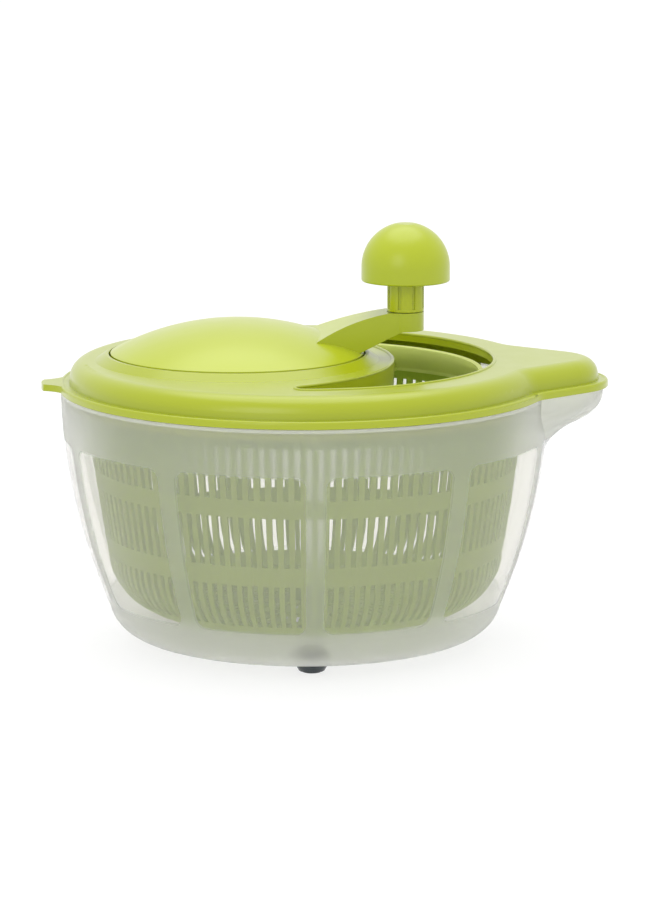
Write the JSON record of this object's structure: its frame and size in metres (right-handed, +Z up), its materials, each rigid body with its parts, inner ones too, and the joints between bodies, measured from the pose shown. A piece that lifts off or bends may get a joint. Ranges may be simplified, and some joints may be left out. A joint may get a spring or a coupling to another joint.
{
  "type": "salad spinner",
  "caption": "Hand-cranked salad spinner: frosted bowl with pouring spout, slotted basket, domed lid with off-centre crank and filling opening.",
  "frame": {"origin": "centre of the object's box on the table; the bowl's axis stands 10.8 mm towards -X from it", "axes": "+Z up, +X towards the spout"},
  "size_m": [0.3008, 0.26, 0.224],
  "materials": {
    "bowl_frosted": "frosted translucent, with clear polished windows",
    "basket_green": "satin moulded",
    "lid_green": "satin moulded, fine grain",
    "crank_green": "satin moulded, fine grain",
    "knob_green": "satin moulded",
    "driver_green": "satin moulded",
    "gear_white": "natural moulded",
    "bearing_white": "natural moulded",
    "steel": "plain",
    "foot_grey": "smoky grey",
    "foot_rubber": "matt"
  },
  "bodies": {
    "bowl": {"bowl": "bowl_frosted", "foot_front": "foot_grey", "foot_right": "foot_grey", "foot_left": "foot_grey", "foot_pad_front": "foot_rubber", "foot_pad_right": "foot_rubber", "foot_pad_left": "foot_rubber"},
    "basket": {"basket": "basket_green"},
    "lid": {"lid": "lid_green", "crank_bush": "bearing_white", "pinion_bush": "bearing_white"},
    "crank": {"crank": "crank_green", "ring_gear": "gear_white", "ring_gear_screws": "steel", "crank_washer": "steel", "crank_screw": "steel", "knob_pin": "steel", "knob_clip": "steel"},
    "knob": {"knob_stem": "knob_green", "knob_dome": "knob_green"},
    "driver": {"drive_pinion": "gear_white", "basket_driver": "driver_green", "driver_washer": "steel", "driver_screw": "steel"}
  },
  "joints": [
    {"name": "lid_lift", "type": "slide", "parent": "bowl", "child": "lid", "axis": [0, 0, 1], "range_m": [0, 0.16]},
    {"name": "crank_spin", "type": "hinge", "parent": "lid", "child": "crank", "pos_m": [-0.0468, 0, 0.15], "axis": [0, 0, 1], "continuous": true},
    {"name": "knob_spin", "type": "hinge", "parent": "crank", "child": "knob", "pos_m": [0.0424, 0, 0.185], "axis": [0, 0, 1], "continuous": true},
    {"name": "driver_spin", "type": "hinge", "parent": "lid", "child": "driver", "pos_m": [-0.0108, 0, 0.145], "axis": [0, 0, 1], "continuous": true},
    {"name": "basket_spin", "type": "hinge", "parent": "bowl", "child": "basket", "pos_m": [-0.0108, 0, 0.024], "axis": [0, 0, 1], "continuous": true}
  ],
  "couplings": [
    {"joint": "driver_spin", "follows": "crank_spin", "ratio": 3},
    {"joint": "basket_spin", "follows": "crank_spin", "ratio": 3}
  ]
}
